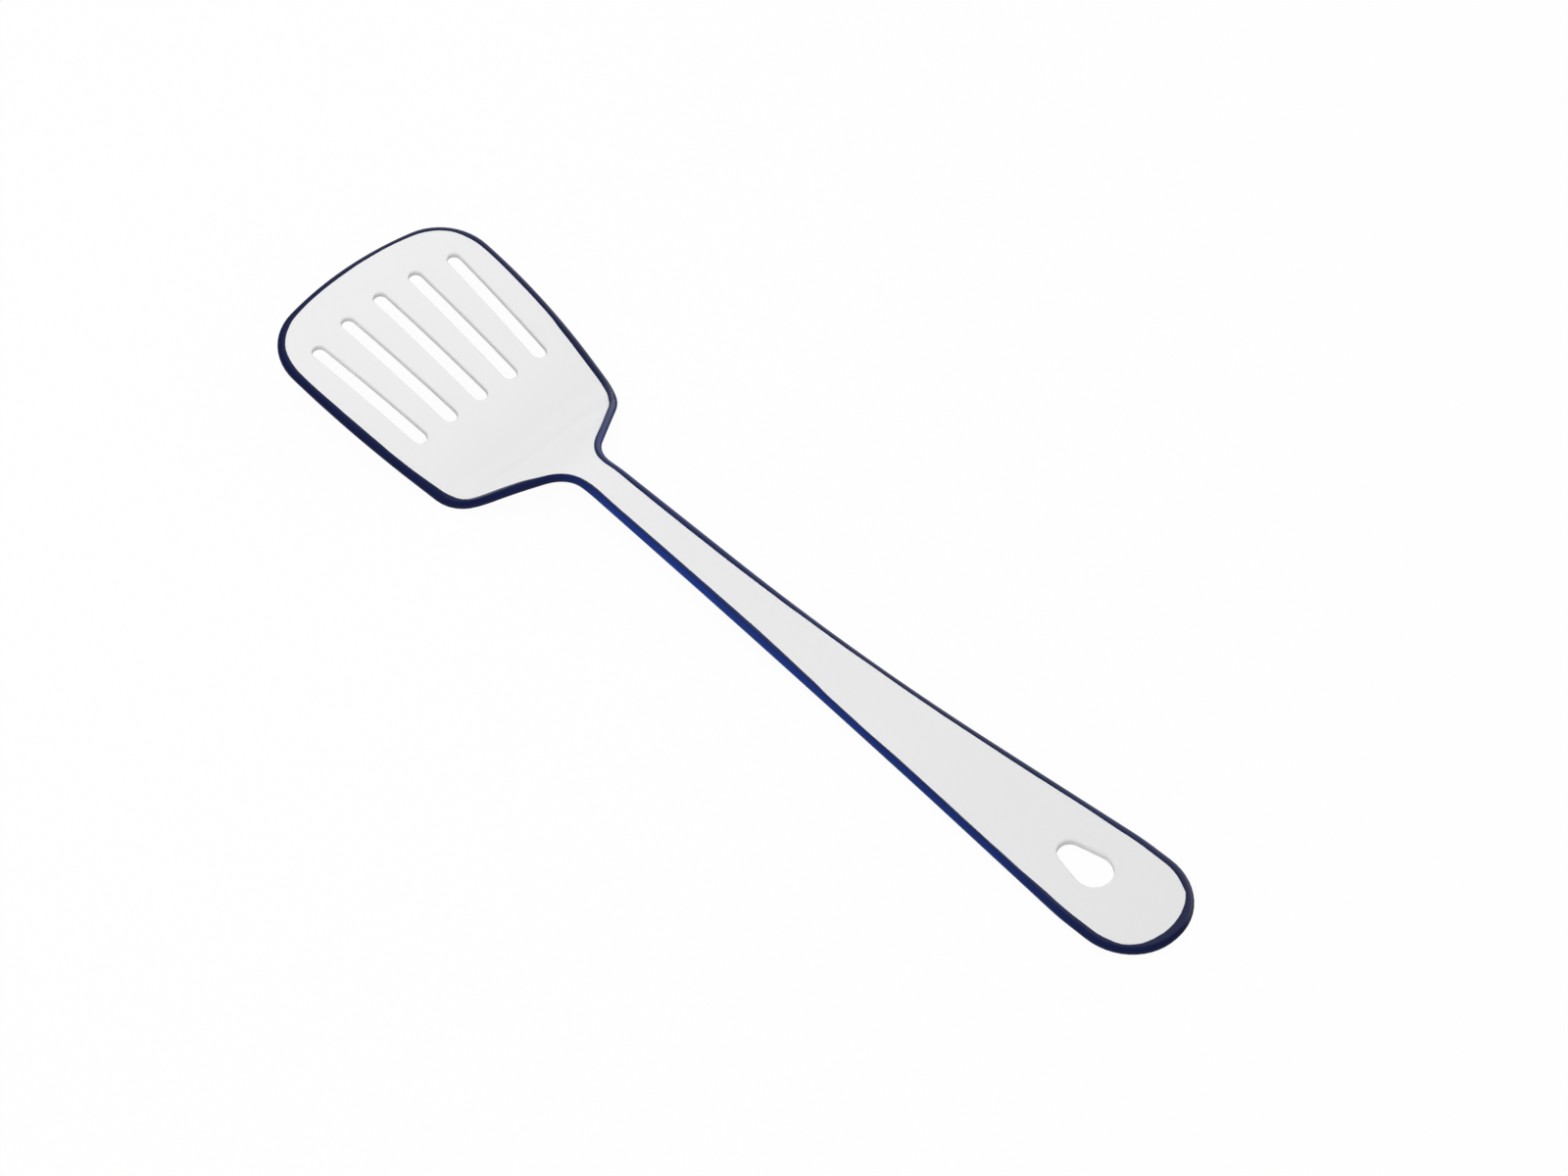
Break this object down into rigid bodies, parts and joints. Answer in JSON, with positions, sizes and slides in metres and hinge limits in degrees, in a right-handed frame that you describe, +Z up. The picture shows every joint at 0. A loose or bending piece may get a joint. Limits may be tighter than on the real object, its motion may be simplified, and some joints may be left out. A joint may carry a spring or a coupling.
{
  "type": "slotted turner",
  "caption": "Slotted kitchen turner of enamelled sheet steel: broad blade with round corners, narrow neck and flared handle with a teardrop hanging hole.",
  "frame": {"origin": "middle of the footprint in X and Y, at the surface that the turner rests on", "axes": "+X runs from the blade's front edge to the handle's end, +Y across the blade, +Z up from the resting surface"},
  "size_m": [0.3613, 0.0848, 0.0216],
  "materials": {
    "sheet_steel": "pickled low-carbon steel sheet, hidden under the enamel",
    "ground_enamel": "dark fired ground coat, hidden under the cover coats",
    "white_enamel": "glossy white vitreous enamel",
    "blue_enamel": "glossy cobalt blue vitreous enamel"
  },
  "bodies": {
    "root": {"steel_blank": "sheet_steel", "ground_coat": "ground_enamel", "white_enamel": "white_enamel", "blue_rim": "blue_enamel"}
  },
  "joints": []
}
